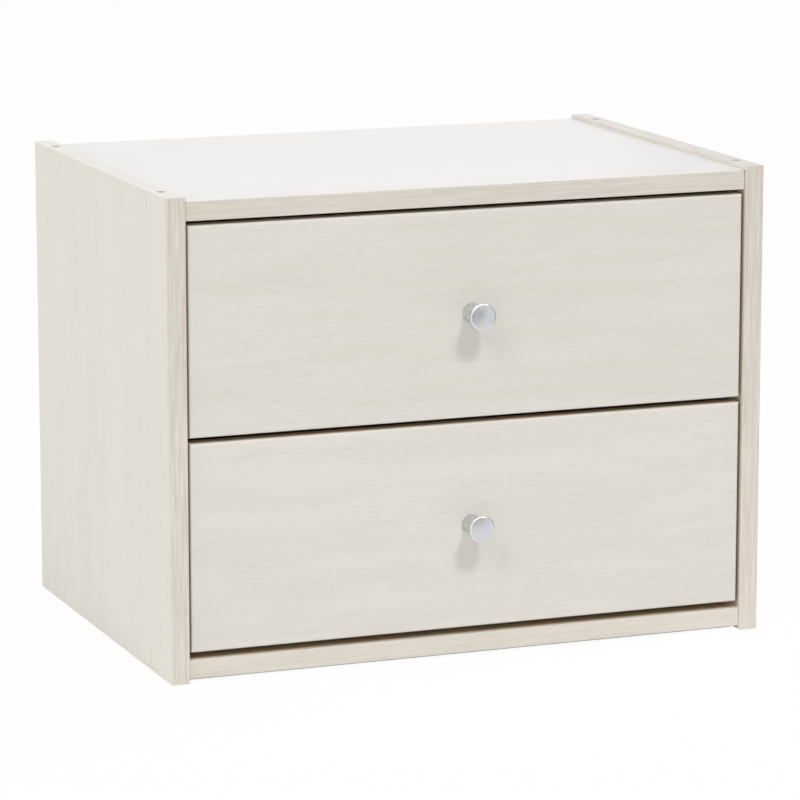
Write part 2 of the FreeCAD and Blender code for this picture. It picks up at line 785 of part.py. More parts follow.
def drawer_pieces(drawer):
    """Every piece of one drawer."""
    base = DRAWERS[drawer]
    prefix = drawer + "_drawer_"
    left = drawer_side(prefix + "left_side", base)
    boards = [drawer_front(prefix + "front", base), left, mirrored(prefix + "right_side", left),
              drawer_back(prefix + "back", base), drawer_bottom(prefix + "bottom", base),
              knob(drawer + "_knob", base)]

    box_base = base + " + box_rise + "
    levels = [box_base + level for level in BOX_LEVELS]
    cam = box_base + "cam_level"
    screw_place = [("0", "box_front", base + " + knob_level")]
    dowels = [(side_line("-"), "box_front - dowel_seat", level) for level in levels]
    cams = [("-inside_half", "box_front + cam_reach", cam)]
    back_screws = spots("-box_half", ["box_front + box_length - box_wall / 2"], levels)
    return boards + [
        copies(drawer + "_knob_screw", FASTENERS["knob_screw"], screw_place, "front"),
        both_sides(prefix + "dowels", FASTENERS["dowel"], dowels, "back"),
        both_sides(prefix + "cam_bolts", FASTENERS["cam_bolt"], [(side_line("-"), "box_front", cam)], "back"),
        both_sides(prefix + "cam_locks", FASTENERS["cam_lock"], cams, "right"),
        both_sides(prefix + "back_screws", FASTENERS["back_screw"], back_screws, "right"),
    ]


# ---------------------------------------------------------------- assembly

def carcass_pieces():
    """Every piece of the carcass, with the runners of both drawers."""
    panel = side_panel("left_side_panel")
    band = side_band("left_edge_band")
    low, high = BOARD_LEVELS
    pieces = [
        panel, mirrored("right_side_panel", panel), band, mirrored("right_edge_band", band),
        cross_board("top_board", "bay_roof", high, "0", True),
        board_band("top_board_edge_band", "bay_roof", True),
        cross_board("bottom_board", "lip_below", low, "board_wall", False),
        board_band("bottom_board_edge_band", "lip_below", False),
        back_panel("back_panel"),
    ]
    for drawer in DRAWERS:
        left = runner(drawer + "_left_runner", drawer)
        pieces += [left, mirrored(drawer + "_right_runner", left)]

    heads = at_panel("-half_width", SCREW_LINES)
    lines = ["runner_front + " + line for line in RUNNER_SCREW_LINES]
    levels = [runner_level(drawer) for drawer in DRAWERS]
    runner_screws = spots("-bay_half + runner_screw_floor", lines, levels)
    return pieces + [
        both_sides("carcass_screws", FASTENERS["carcass_screw"], heads, "right"),
        both_sides("screw_covers", FASTENERS["screw_cover"], heads, "left"),
        both_sides("carcass_dowels", FASTENERS["dowel"], at_panel("-bay_half - dowel_seat", DOWEL_LINES),
                   "right"),
        both_sides("runner_screws", FASTENERS["runner_screw"], runner_screws, "left"),
    ]


NODES = carcass_pieces()
for name in DRAWERS:
    NODES += drawer_pieces(name)
doc.recompute()


def check_document():
    """Stop if an object failed, a shape is bad or a cut took nothing away."""
    for item in doc.Objects:
        if "Invalid" in item.State or "Error" in item.State:
            raise RuntimeError("%s failed: %s" % (item.Label, item.State))
        if item.TypeId in ("PartDesign::Pocket", "Part::Cut"):
            before = item.BaseFeature if item.TypeId == "PartDesign::Pocket" else item.Base
            if item.Shape.Volume > before.Shape.Volume - 1e-3:
                raise RuntimeError("%s cuts nothing" % item.Label)
    for item in NODES:
        if item.Shape.isNull() or not item.Shape.isValid() or not item.Shape.Solids:
            raise RuntimeError("%s has no valid solid" % item.Label)


check_document()
os.makedirs("parts", exist_ok=True)
for item in NODES:
    item.Shape.exportStep("parts/%s.step" % item.Label)
print("%d pieces in parts/" % len(NODES))
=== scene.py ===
"""Two-drawer cabinet for CD cases: finishes, small hardware, light and camera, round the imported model.

Metres, in the model's own frame: +Z up, +X to the right, the drawers open towards -Y.
"""
import math

import bmesh
import bpy
from mathutils import Matrix, Vector


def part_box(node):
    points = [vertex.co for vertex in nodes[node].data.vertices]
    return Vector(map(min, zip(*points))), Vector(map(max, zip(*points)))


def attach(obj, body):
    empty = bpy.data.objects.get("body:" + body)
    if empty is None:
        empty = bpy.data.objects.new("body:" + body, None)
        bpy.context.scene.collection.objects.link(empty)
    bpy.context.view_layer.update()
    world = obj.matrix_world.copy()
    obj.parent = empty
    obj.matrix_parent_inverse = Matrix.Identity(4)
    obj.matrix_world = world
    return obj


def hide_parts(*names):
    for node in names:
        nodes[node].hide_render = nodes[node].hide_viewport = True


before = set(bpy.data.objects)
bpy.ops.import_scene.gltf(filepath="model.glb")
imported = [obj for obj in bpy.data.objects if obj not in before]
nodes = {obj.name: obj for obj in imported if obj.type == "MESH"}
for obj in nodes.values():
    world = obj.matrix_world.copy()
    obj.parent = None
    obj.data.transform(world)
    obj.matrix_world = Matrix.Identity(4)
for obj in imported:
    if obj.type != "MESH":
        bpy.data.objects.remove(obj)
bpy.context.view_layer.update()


# ---------------------------------------------------------------- side panels
# Two upright particle board panels, wrapped in cream-white printed paper with a faint vertical
# wood figure.  Their edges are a little rubbed and paler, partly wear and partly a painted highlight;
# the peg holes in the upper edges are raw drilled board, its colour darkened by painted shade.

def srgb(red, green, blue):
    """A paint chip's 0-255 values as the linear colour that a shader wants."""
    def linear(level):
        level = level / 255
        return level / 12.92 if level <= 0.04045 else ((level + 0.055) / 1.055) ** 2.4
    return (linear(red), linear(green), linear(blue), 1.0)


def scaled(colour, factor):
    """The colour with its light multiplied by the factor, white at most."""
    return tuple(min(1.0, level * factor) for level in colour[:3]) + (1.0,)


class Tree:
    """Adds nodes to a material, a world or a group, each with its sockets set or linked by name."""

    def __init__(self, tree):
        self.tree = tree

    def feed(self, inputs, name, content):
        """Set or link one input; slot0, slot1 and so on name an input by its place in the row."""
        socket = inputs[int(name[4:])] if name.startswith("slot") else inputs[name.replace("_", " ")]
        if isinstance(content, bpy.types.NodeSocket):
            self.tree.links.new(content, socket)
        else:
            socket.default_value = content

    def add(self, kind, settings=None, **sockets):
        node = self.tree.nodes.new(kind)
        for name, setting in (settings or {}).items():
            setattr(node, name, setting)
        for name, content in sockets.items():
            self.feed(node.inputs, name, content)
        return node

    def group(self, shared, **sockets):
        return self.add("ShaderNodeGroup", {"node_tree": shared}, **sockets).outputs

    def maths(self, operation, first, second=0.0, clamp=False):
        node = self.add("ShaderNodeMath", {"operation": operation, "use_clamp": clamp},
                        slot0=first, slot1=second)
        return node.outputs[0]

    def product(self, first, *others):
        for other in others:
            first = self.maths("MULTIPLY", first, other)
        return first

    def mean(self, first, second, share):
        """The weighted mean of two levels, with the given share of the first."""
        return self.maths("ADD", self.product(first, share), self.product(second, 1.0 - share))

    def vector_maths(self, operation, first, second=(0.0, 0.0, 0.0)):
        node = self.add("ShaderNodeVectorMath", {"operation": operation}, slot0=first, slot1=second)
        return node.outputs["Value" if operation == "DOT_PRODUCT" else "Vector"]

    def parts(self, vector):
        return self.add("ShaderNodeSeparateXYZ", Vector=vector).outputs

    def joined(self, x, y, z):
        return self.add("ShaderNodeCombineXYZ", X=x, Y=y, Z=z).outputs[0]

    def normal(self):
        return self.add("ShaderNodeNewGeometry").outputs["Normal"]

    def ramp(self, value, low, high, start=0.0, end=1.0):
        """Carry value from low..high to start..end with soft ends."""
        node = self.add("ShaderNodeMapRange", {"interpolation_type": "SMOOTHSTEP"}, Value=value,
                        From_Min=low, From_Max=high, To_Min=start, To_Max=end)
        return node.outputs[0]

    def blend(self, amount, first, second, kind="MIX"):
        """From the first colour to the second, by the amount."""
        node = self.add("ShaderNodeMix", {"data_type": "RGBA", "blend_type": kind},
                        slot0=amount, slot6=first, slot7=second)
        return node.outputs[2]

    def noise(self, vector, per_metre, detail=3.0, roughness=0.55):
        """A soft noise with about so many blotches in a metre, finer ones added as detail."""
        node = self.add("ShaderNodeTexNoise", Vector=vector, Scale=per_metre, Detail=detail,
                        Roughness=roughness)
        return node.outputs["Fac"]

    def spread(self, noise, start=0.0, end=1.0):
        """Carry a noise, which mostly stays between 0.3 and 0.7, to the whole of start..end."""
        return self.ramp(noise, 0.3, 0.7, start, end)

    def stretched(self, vector, factors, shift=(0.0, 0.0, 0.0)):
        """The vector's parts times the factors; a factor of 0.1 draws a noise out to ten times its length."""
        return self.add("ShaderNodeMapping", Vector=vector, Scale=factors, Location=shift).outputs[0]

    def surface(self, shader, colour, roughness, relief, strength, depth=0.0001, **levels):
        """Feed the shader its colour, its roughness, a relief of the given depth, and levels by name."""
        bump = self.add("ShaderNodeBump", Strength=strength, Distance=depth, Height=relief)
        channels = {"Base Color": colour, "Roughness": roughness, "Normal": bump.outputs[0], **levels}
        for name, content in channels.items():
            self.feed(shader.inputs, name, content)


def shared_group(name, inputs, outputs, kind="ShaderNodeTree"):
    """An empty node group with typed, named sockets; returns it with its Tree and its two ends."""
    group = bpy.data.node_groups.new(name, kind)
    for direction, sockets in (("INPUT", inputs), ("OUTPUT", outputs)):
        for title, content in sockets:
            group.interface.new_socket(title, in_out=direction, socket_type="NodeSocket" + content)
    entry = group.nodes.new("NodeGroupInput")
    leave = group.nodes.new("NodeGroupOutput")
    return group, Tree(group), entry.outputs, leave.inputs


GRAIN_SWAY = 0.009
STREAKS_PER_BAND = 5.0
FIBRES_PER_METRE = 2600.0


def make_printed_figure():
    """Wood figure printed on paper, with the grain along the vector's X: broad tone and fine pores."""
    group, tree, given, result = shared_group(
        "printed wood figure",
        [("Vector", "Vector"), ("Band Width", "Float"), ("Pore Length", "Float"), ("Seed", "Float")],
        [("Tone", "Float"), ("Pores", "Float"), ("Pale", "Float"), ("Fibre", "Float")])
    seed = given["Seed"]
    shifted = tree.vector_maths("ADD", given["Vector"], tree.joined(seed, seed, seed))
    sway = tree.noise(tree.stretched(shifted, (5.0, 9.0, 9.0)), 1.0, 2.0)
    bend = tree.product(tree.maths("SUBTRACT", sway, 0.5), GRAIN_SWAY)
    wavy = tree.vector_maths("ADD", shifted, tree.joined(0.0, bend, 0.0))

    per_band = tree.maths("DIVIDE", 1.0, given["Band Width"])
    broad = tree.noise(tree.stretched(wavy, (0.09, 1.0, 1.0)), per_band, 2.0)
    thin = tree.noise(tree.stretched(wavy, (0.05, 1.0, 1.0)), tree.product(per_band, STREAKS_PER_BAND))
    tree.feed(result, "Tone", tree.mean(tree.ramp(broad, 0.32, 0.68), tree.ramp(thin, 0.35, 0.65), 0.6))

    per_pore = tree.maths("DIVIDE", 1.0, given["Pore Length"])
    dashes = tree.noise(tree.stretched(wavy, (1.0, 13.0, 13.0)), per_pore, 1.0, 0.4)
    patches = tree.noise(tree.stretched(wavy, (0.25, 1.0, 1.0)), tree.product(per_pore, 0.5), 2.0)
    tree.feed(result, "Pores", tree.product(tree.ramp(dashes, 0.56, 0.72), tree.ramp(patches, 0.35, 0.62)))
    tree.feed(result, "Pale", tree.product(tree.ramp(dashes, 0.28, 0.44, 1.0, 0.0),
                                           tree.ramp(patches, 0.38, 0.65, 1.0, 0.0)))
    fibre = tree.noise(tree.stretched(shifted, (0.04, 1.0, 1.0)), FIBRES_PER_METRE, 2.0)
    tree.feed(result, "Fibre", fibre)
    return group


RUB_AND_HIGHLIGHT_PATCHES_PER_METRE = 160.0


def make_edge_rub_and_highlight():
    """How near a board's edge a point lies, from 1 on the edge to 0 at the given width, broken up."""
    group, tree, given, result = shared_group(
        "edge wear and highlight", [("Vector", "Vector"), ("Centre", "Vector"), ("Half Size", "Vector"), ("Width", "Float")],
        [("Mask", "Float")])
    away = tree.vector_maths("SUBTRACT", given["Vector"], given["Centre"])
    inset = tree.vector_maths("SUBTRACT", given["Half Size"], tree.vector_maths("ABSOLUTE", away))
    across, along, up = tree.parts(inset)
    # On an edge two of the three insets are nothing, so the middle one says how far off the edge is.
    least = tree.maths("MINIMUM", across, along)
    most = tree.maths("MAXIMUM", across, along)
    middle = tree.maths("MAXIMUM", least, tree.maths("MINIMUM", most, up))
    patchy = tree.spread(tree.noise(given["Vector"], RUB_AND_HIGHLIGHT_PATCHES_PER_METRE), 0.4, 1.4)
    worn_and_highlit = tree.product(given["Width"], patchy)
    mask = tree.maths("SUBTRACT", 1.0, tree.maths("DIVIDE", middle, worn_and_highlit), clamp=True)
    tree.feed(result, "Mask", mask)
    return group


PRINTED_FIGURE = make_printed_figure()
EDGE_RUB_AND_HIGHLIGHT = make_edge_rub_and_highlight()
# The parts of a vector in a new order, the one along the grain first.
GRAIN_TURNS = {"x": "XYZ", "y": "YXZ", "z": "ZXY"}


def new_material(name):
    """A material with its Tree, its Principled shader and its Object coordinates."""
    material = bpy.data.materials.new(name)
    material.use_nodes = True
    tree = Tree(material.node_tree)
    shader = material.node_tree.nodes["Principled BSDF"]
    coordinates = tree.add("ShaderNodeTexCoord").outputs["Object"]
    return material, tree, shader, coordinates


def turned(tree, vector, grain):
    """The vector with the axis that the grain follows brought to X."""
    parts = tree.parts(vector)
    return tree.joined(*(parts[axis] for axis in GRAIN_TURNS[grain]))


def rub_and_highlight_edges(tree, vector, low, high, width):
    """1 on the edges of the board between two corners, 0 at the width from them."""
    return tree.group(EDGE_RUB_AND_HIGHLIGHT, Vector=vector, Centre=(low + high) / 2, Half_Size=(high - low) / 2,
                      Width=width)["Mask"]


STRIP_BAND_WIDTH = 0.0035
STRIP_PORE_LENGTH = 0.02
# The strip fades in between these two depths below the upper edge.
STRIP_FOOT = 0.0005
STRIP_HEAD = 0.0001


def edge_strip(tree, colour, vector, top, light, dark, seed):
    """The colour with a strip of the same print on the edge that faces up, its grain from front to back."""
    tone = tree.group(PRINTED_FIGURE, Vector=turned(tree, vector, "y"), Band_Width=STRIP_BAND_WIDTH,
                      Pore_Length=STRIP_PORE_LENGTH, Seed=seed)["Tone"]
    on_edge = tree.ramp(tree.parts(vector)["Z"], top - STRIP_FOOT, top - STRIP_HEAD)
    return tree.blend(on_edge, colour, tree.blend(tone, dark, light))


# Painted shade: the tan that is multiplied in along the narrow gaps behind the front edges.
GAP_SHADE_TAN = (0.93, 0.80, 0.64, 1.0)
# Where the painted gap shade sets in and is full behind the front edge, and the share of its depth at which
# it wanes.
TAN_START = (0.0008, 0.003)
TAN_WANES_AT = 0.7
TAN_FADE_AT_TOP = 0.001
# A height over the whole cabinet, for a board whose painted gap shade goes all the way up.
ABOVE_ALL = 1.0


def painted_gap_shade(tree, colour, vector, front, depth, facing, top):
    """The colour with a painted shade: a tan tint multiplied in where the board faces the narrow gap behind
    the front edge.

    facing is the direction of the board's face that borders the gap, or None for all four edges.
    """
    normal = tree.normal()
    if facing:
        turned_in = tree.vector_maths("DOT_PRODUCT", normal, facing)
    else:
        turned_in = tree.maths("SUBTRACT", 1.0, tree.maths("ABSOLUTE", tree.parts(normal)["Y"]))
    place = tree.parts(vector)
    behind = tree.maths("SUBTRACT", place["Y"], front)
    mask = tree.product(tree.ramp(turned_in, 0.5, 0.8), tree.ramp(behind, *TAN_START),
                        tree.ramp(behind, depth * TAN_WANES_AT, depth, 1.0, 0.0),
                        tree.ramp(place["Z"], top - TAN_FADE_AT_TOP, top, 1.0, 0.0))
    return tree.blend(mask, colour, tree.blend(1.0, colour, GAP_SHADE_TAN, "MULTIPLY"))


# Raw chipboard, given darker than the bare board is: partly its own colour, partly painted shade in holes and
# gaps.
RAW_BOARD_AND_SHADE = srgb(128, 106, 80)
# How far inside the board's outer faces its core takes over from the paper.
CORE_START = (0.0005, 0.0007)


def cut_open(tree, colour, vector, low, high, core):
    """The colour with that of the core on the faces inside the board: the walls of holes and grooves."""
    away = tree.parts(tree.vector_maths("SUBTRACT", vector, (low + high) / 2))
    margins = [tree.maths("SUBTRACT", half, tree.maths("ABSOLUTE", side))
               for half, side in zip((high - low) / 2, away)]
    nearest = tree.maths("MINIMUM", margins[0], tree.maths("MINIMUM", margins[1], margins[2]))
    return tree.blend(tree.ramp(nearest, *CORE_START), colour, core)


def bare_shaded_front(tree, colour):
    """The colour with bare chipboard, darkened by painted shade, on the face turned to the front, where the
    edge band is glued on.
    """
    backwards = tree.parts(tree.normal())["Y"]
    return tree.blend(tree.ramp(backwards, -0.98, -0.9, 1.0, 0.0), colour, RAW_BOARD_AND_SHADE)


# How much paler the print's pale flecks and the rubbed edges are, and how much of it the edges take; on the
# edges this is partly wear and partly a painted highlight.
WORN_AND_HIGHLIT_BRIGHTER = 1.07
WORN_AND_HIGHLIT_SHARE = 0.55
BLOTCHES_PER_METRE = 45.0


def printed_paper(name, node, colours, grain, band_width, pore_length, pore_strength, seed,
                  rub_and_highlight_width=0.0012, roughness=0.48, upper_edge=None, gap=None, core=None, banded=False):
    """Printed paper on a board: two tones, pores in a third, rubbed edges painted paler as wear and as a
    painted highlight, a satin emboss along the grain.

    upper_edge holds the two colours of a strip of the same print along the upper edge, front to back.
    gap holds the depth of the painted gap shade behind the front edge, the way its face points and its top.
    core is the colour of the board's inside where holes cut it open, with some painted shade in it; banded
    leaves the front face bare, in raw board darkened by painted shade.
    """
    material, tree, shader, vector = new_material(name)
    light, dark, pore = colours
    worn_and_highlit = scaled(light, WORN_AND_HIGHLIT_BRIGHTER)
    low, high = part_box(node)
    figure = tree.group(PRINTED_FIGURE, Vector=turned(tree, vector, grain), Band_Width=band_width,
                        Pore_Length=pore_length, Seed=seed)
    rub_and_highlight = rub_and_highlight_edges(tree, vector, low, high, rub_and_highlight_width)

    colour = tree.blend(figure["Tone"], dark, light)
    colour = tree.blend(tree.product(figure["Pores"], pore_strength), colour, pore)
    colour = tree.blend(tree.product(figure["Pale"], pore_strength), colour, worn_and_highlit)
    if upper_edge:
        colour = edge_strip(tree, colour, vector, high.z, *upper_edge, seed + 40)
    # Painted shade: a tan tint along the narrow gap behind the front edge.
    if gap:
        colour = painted_gap_shade(tree, colour, vector, low.y, *gap)
    # Paler edges: partly wear, partly a painted highlight where the rounded edges catch the light.
    colour = tree.blend(tree.product(rub_and_highlight, WORN_AND_HIGHLIT_SHARE), colour, worn_and_highlit)
    if core:
        colour = cut_open(tree, colour, vector, low, high, core)
    if banded:
        colour = bare_shaded_front(tree, colour)

    mottle = tree.spread(tree.noise(vector, BLOTCHES_PER_METRE), roughness - 0.05, roughness + 0.05)
    polished = tree.maths("SUBTRACT", mottle, tree.product(rub_and_highlight, 0.08))
    dull = tree.maths("ADD", polished, tree.product(figure["Pores"], 0.1))
    emboss = tree.maths("SUBTRACT", tree.product(figure["Fibre"], 0.35), figure["Pores"])
    tree.surface(shader, colour, dull, emboss, 0.25, Specular_IOR_Level=0.35)
    return material


def dress(node, material):
    """Give a model node one finish."""
    mesh = nodes[node].data
    mesh.materials.clear()
    mesh.materials.append(material)


# A paper is its light tone, its dark tone and its pores.
PANEL_PAPER = (srgb(228, 224, 215), srgb(225, 220, 211), srgb(213, 207, 196))
# The light and the dark tone of each panel's upper edge, and the board's colour in its holes.
# The left edge strip is painted paler than the right one: painted light.  The left holes are
# painted darker than the right ones: painted shade.
UPPER_EDGES = {"left": (srgb(242, 239, 234), srgb(235, 231, 223)),
               "right": (srgb(236, 232, 226), srgb(224, 218, 209))}
CORES = {"left": RAW_BOARD_AND_SHADE, "right": srgb(172, 160, 142)}
INWARDS = {"left": (1.0, 0.0, 0.0), "right": (-1.0, 0.0, 0.0)}
top_board_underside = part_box("top_board")[0].z
for number, side in enumerate(("left", "right")):
    node = side + "_side_panel"
    # Painted shade on each panel's inner face along the gap behind its front edge, below the top board.
    dress(node, printed_paper("panel paper " + side, node, PANEL_PAPER, grain="z", band_width=0.022,
                              pore_length=0.012, pore_strength=0.25, seed=3.1 + number,
                              upper_edge=UPPER_EDGES[side], core=CORES[side],
                              gap=(0.02, INWARDS[side], top_board_underside)))


# ---------------------------------------------------------------- edge bands
# Thin strips glued on the front edges of the panels and boards.  Their print is stronger than the
# paper's: narrow brown-grey streaks along the strip, pressed in a little, with a duller surface.

BAND_LIGHT = srgb(223, 217, 207)
BAND_DARK = srgb(203, 195, 183)
BAND_PORE = srgb(188, 179, 165)
BAND_FIGURE_WIDTH = 0.0045
BAND_PORE_LENGTH = 0.008
BAND_STREAKS_PER_METRE = 620.0
BAND_RUB_AND_HIGHLIGHT_WIDTH = 0.0006
# Painted light: what the tone of an upright band gains at its foot and at its top, palest near the floor,
# where the floor throws light up.
PAINTED_LIGHT_AT_FOOT = 0.28
PAINTED_SHADE_AT_TOP = -0.16


def streaked_band(name, node, grain, seed, painted_light=1.0, contrast=1.0):
    """A band of the same print at a coarse scale: streaks a millimetre or two wide."""
    material, tree, shader, vector = new_material(name)
    low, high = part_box(node)
    along = turned(tree, vector, grain)
    figure = tree.group(PRINTED_FIGURE, Vector=along, Band_Width=BAND_FIGURE_WIDTH,
                        Pore_Length=BAND_PORE_LENGTH, Seed=seed)
    drawn_out = tree.stretched(along, (0.035, 1.0, 1.0), (seed, seed, 0.0))
    streaks = tree.noise(drawn_out, BAND_STREAKS_PER_METRE, 2.0, 0.6)
    tone = tree.mean(tree.ramp(streaks, 0.33, 0.67), figure["Tone"], 0.65)
    # Painted light: upright bands grow paler towards the floor.
    if grain == "z":
        painted_floor_light = tree.ramp(tree.parts(vector)["Z"], low.z, high.z, PAINTED_LIGHT_AT_FOOT, PAINTED_SHADE_AT_TOP)
        tone = tree.maths("ADD", tone, painted_floor_light)

    # The factor scales the band's colours: painted light and shade.
    light = scaled(BAND_LIGHT, painted_light)
    dark = tuple(pale + (deep - pale) * contrast for pale, deep in zip(light, scaled(BAND_DARK, painted_light)))
    colour = tree.blend(tone, dark, light)
    colour = tree.blend(tree.product(figure["Pores"], 0.45 * contrast), colour, BAND_PORE)
    rub_and_highlight = rub_and_highlight_edges(tree, vector, low, high, BAND_RUB_AND_HIGHLIGHT_WIDTH)
    # Paler edges: partly wear, partly a painted highlight.
    colour = tree.blend(tree.product(rub_and_highlight, 0.4), colour, light)
    tree.surface(shader, colour, tree.ramp(tone, 0.0, 1.0, 0.58, 0.5), tone, 0.35, Specular_IOR_Level=0.3)
    return material


dress("left_edge_band", streaked_band("band left", "left_edge_band", "z", seed=1.7))
dress("right_edge_band", streaked_band("band right", "right_edge_band", "z", seed=5.3))
# Painted shade on the top band and painted light on the bottom band, through the factor that scales their
# colours.
dress("top_board_edge_band", streaked_band("band top", "top_board_edge_band", "x", seed=8.9,
                                           painted_light=0.95, contrast=0.62))
dress("bottom_board_edge_band", streaked_band("band bottom", "bottom_board_edge_band", "x", seed=12.4,
                                              painted_light=1.04, contrast=0.5))


# ---------------------------------------------------------------- top and bottom boards
# The boards between the panels, in the same wrapped particle board.  The top one is the smoothest and
# whitest face of the cabinet, its figure hardly to be seen; its paper is given whiter than the panels',
# partly its own tone and partly painted light for the brighter light from above.

# Partly painted light: the top paper is whiter, standing in for the brighter light from above.
TOP_PAPER = (srgb(243, 241, 240), srgb(241, 239, 238), srgb(233, 230, 227))
dress("top_board", printed_paper("top paper", "top_board", TOP_PAPER, grain="x", band_width=0.03,
                                 pore_length=0.012, pore_strength=0.15, seed=21.0,
                                 roughness=0.42, banded=True))
# Painted shade on the bottom board's upper face along the gap under the lower front.
dress("bottom_board", printed_paper("bottom paper", "bottom_board", PANEL_PAPER, grain="x", band_width=0.025,
                                    pore_length=0.012, pore_strength=0.35, seed=23.0,
                                    gap=(0.03, (0.0, 0.0, 1.0), ABOVE_ALL)))


# ---------------------------------------------------------------- hardboard back and drawer bottoms
# Thin hardboard sheets, slid into grooves in the boards round them.  They are smooth and lacquered
# white, with a soft mottle and darker flecks from the fibres.

def hardboard(name, seed):
    """White lacquer with faint clouds, and flecks where a fibre shows through."""
    material, tree, shader, vector = new_material(name)
    moved = tree.stretched(vector, (1.0, 1.0, 1.0), (seed, seed, seed))
    clouds = tree.noise(moved, 60.0, 4.0)
    flecks = tree.noise(moved, 900.0, 2.0)
    colour = tree.blend(tree.spread(clouds), srgb(225, 220, 211), srgb(228, 224, 216))
    colour = tree.blend(tree.ramp(flecks, 0.62, 0.75, 0.0, 0.5), colour, srgb(203, 194, 178))
    tree.surface(shader, colour, tree.spread(clouds, 0.55, 0.6), flecks, 0.3)
    return material


dress("back_panel", hardboard("back hardboard", 2.0))
dress("lower_drawer_bottom", hardboard("lower bottom hardboard", 4.0))
dress("upper_drawer_bottom", hardboard("upper bottom hardboard", 6.0))


# ---------------------------------------------------------------- screw covers
# Thin cream discs, stuck over the screw heads in the panels' outer faces.  Each is pressed from soft
# plastic film: a low dome in the paper's colour with a rounded rim.  The rim's paler, yellower tint on
# the side turned to the front is a painted highlight, and the dark seam at its foot a painted shadow.

COVER_RADIUS = 0.007
COVER_SIDES = 56
# The film's half section: radius as a share of its diameter, height as a share of its rise.
COVER_PROFILE = [(0.0, 0.0), (0.5, 0.0), (0.5, 0.12), (0.492, 0.36), (0.474, 0.6), (0.45, 0.8),
                 (0.42, 0.92), (0.38, 0.97), (0.22, 0.99), (0.0, 1.0)]
# Where the rim's painted highlight sets in and is full, as shares of the diameter.
COVER_RIM_HIGHLIGHT = (0.40, 0.46)
# The share of the film's rise that the painted shadow along the seam covers.
COVER_SEAM_SHADOW = 0.4


def linked(name, data):
    """A new object in the scene, with the given mesh, lamp or camera."""
    item = bpy.data.objects.new(name, data)
    bpy.context.scene.collection.objects.link(item)
    return item


def plain_mesh(maker, name):
    """The finished mesh of an object with live modifiers, as a new object at the origin."""
    bpy.context.view_layer.update()
    graph = bpy.context.evaluated_depsgraph_get()
    mesh = bpy.data.meshes.new_from_object(maker.evaluated_get(graph))
    mesh.name = name
    bpy.data.objects.remove(maker)
    return linked(name, mesh)


def revolved(name, profile, sides):
    """A closed solid turned about Z from (radius, height) points, the first and last on the axis."""
    shape = bmesh.new()
    rings = []
    for radius, height in profile:
        if radius == 0.0:
            rings.append([shape.verts.new((0.0, 0.0, height))])
            continue
        rings.append([shape.verts.new((radius * math.cos(turn * math.tau / sides),
                                       radius * math.sin(turn * math.tau / sides), height))
                      for turn in range(sides)])
    for below, above in zip(rings, rings[1:]):
        for turn in range(sides):
            following = (turn + 1) % sides
            corners = [below[turn % len(below)], below[following % len(below)],
                       above[following % len(above)], above[turn % len(above)]]
            shape.faces.new(list(dict.fromkeys(corners)))
    bmesh.ops.recalc_face_normals(shape, faces=shape.faces)
    mesh = bpy.data.meshes.new(name)
    shape.to_mesh(mesh)
    shape.free()
    return mesh


def mark_rim(mesh, inner, outer):
    """Note on each point how far out it lies, from 0 at the inner radius to 1 at the outer."""
    rim = mesh.attributes.new("rim", "FLOAT", "POINT")
    for vertex in mesh.vertices:
        rim.data[vertex.index].value = min(1.0, max(0.0, (vertex.co.xy.length - inner) / (outer - inner)))


def make_fittings_tree():
    """Copies of one unit-sized fitting at each point, turned by the point's aim and scaled to size."""
    group, tree, given, result = shared_group(
        "fittings at places",
        [("Places", "Geometry"), ("Fitting", "Object"), ("Diameter", "Float"), ("Height", "Float"),
         ("Finish", "Material")],
        [("Fittings", "Geometry")], "GeometryNodeTree")
    master = tree.add("GeometryNodeObjectInfo", Object=given["Fitting"]).outputs["Geometry"]
    aim = tree.add("GeometryNodeInputNamedAttribute", {"data_type": "FLOAT_VECTOR"}, Name="aim").outputs[0]
    size = tree.joined(given["Diameter"], given["Diameter"], given["Height"])
    placed = tree.add("GeometryNodeInstanceOnPoints", Points=given["Places"], Instance=master,
                      Rotation=aim, Scale=size).outputs[0]
    solid = tree.add("GeometryNodeRealizeInstances", Geometry=placed).outputs[0]
    dressed = tree.add("GeometryNodeSetMaterial", Geometry=solid, Material=given["Finish"]).outputs[0]
    tree.feed(result, "Fittings", dressed)
    return group


FITTINGS_TREE = make_fittings_tree()


def fittings(name, master, places, diameter, height, material):
    """One plain mesh with the master mesh at each (point, outward direction)."""
    points = bpy.data.meshes.new(name + " places")
    points.from_pydata([point for point, outward in places], [], [])
    aims = points.attributes.new("aim", "FLOAT_VECTOR", "POINT")
    for index, (point, outward) in enumerate(places):
        aims.data[index].vector = Vector(outward).to_track_quat("Z", "Y").to_euler()
    maker = linked(name + " maker", points)
    fitting = linked(name + " master", master)
    modifier = maker.modifiers.new("fittings", "NODES")
    modifier.node_group = FITTINGS_TREE
    sockets = {item.name: item.identifier for item in FITTINGS_TREE.interface.items_tree}
    inputs = {"Fitting": fitting, "Diameter": diameter, "Height": height, "Finish": material}
    for title, content in inputs.items():
        modifier[sockets[title]] = content
    piece = plain_mesh(maker, name)
    bpy.data.objects.remove(fitting)
    return piece


def shade_by_angle(piece, degrees=35):
    """Smooth shading with sharp edges kept."""
    piece.data.shade_smooth()
    shape = bmesh.new()
    shape.from_mesh(piece.data)
    for edge in shape.edges:
        edge.smooth = edge.calc_face_angle(0.0) < math.radians(degrees)
    shape.to_mesh(piece.data)
    shape.free()


